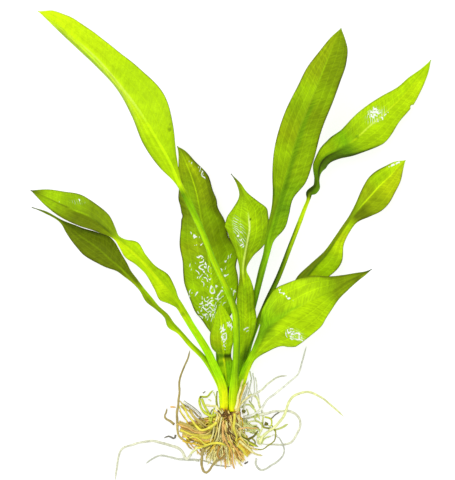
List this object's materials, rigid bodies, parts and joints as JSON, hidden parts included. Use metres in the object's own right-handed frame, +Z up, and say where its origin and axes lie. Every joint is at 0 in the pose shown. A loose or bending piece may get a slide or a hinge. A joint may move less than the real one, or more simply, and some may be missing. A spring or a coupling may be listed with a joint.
{
  "type": "amazon sword plant",
  "caption": "Bare-rooted aquarium plant lying flat: long pointed leaves on stalks rising from a short crown over a spreading mass of fine roots.",
  "frame": {"origin": "on the flat underside of the crown, at the surface that the plant lies on", "axes": "+Z up from the surface; +Y the way the leaves point; +X to the right as seen from above with the leaves pointing up"},
  "size_m": [0.2195, 0.2561, 0.0561],
  "materials": {
    "leaf_bright": "satin",
    "leaf_green": "satin",
    "leaf_dark": "satin",
    "crown": "matte",
    "root_tan": "matte",
    "root_pale": "satin"
  },
  "bodies": {
    "root": {"crown": "crown", "leaf_arching": "leaf_bright", "leaf_back": "leaf_dark", "leaf_pointed": "leaf_green", "leaf_tall": "leaf_green", "leaf_kinked": "leaf_bright", "leaf_oval": "leaf_green", "leaf_broad": "leaf_bright", "leaf_waisted": "leaf_bright", "leaf_shaded": "leaf_dark", "leaf_young": "leaf_green", "root_tuft_left": "root_tan", "root_tuft_left_low": "root_tan", "root_tuft_lower_left": "root_tan", "root_tuft_bottom_left": "root_tan", "root_tuft_bottom": "root_tan", "root_tuft_bottom_right": "root_tan", "root_tuft_lower_right": "root_tan", "root_tuft_right": "root_tan", "root_right_long": "root_pale", "root_right_upper": "root_pale", "root_right_pale": "root_pale", "root_right_loop": "root_pale", "root_lower_right_loop": "root_pale", "root_left_long": "root_pale", "root_lower_left_long": "root_pale", "root_left_rising": "root_tan", "root_left_strand": "root_pale", "root_left_hook": "root_tan", "root_left_low": "root_tan", "root_left_hump": "root_pale", "root_bottom_loop": "root_tan"}
  },
  "joints": []
}
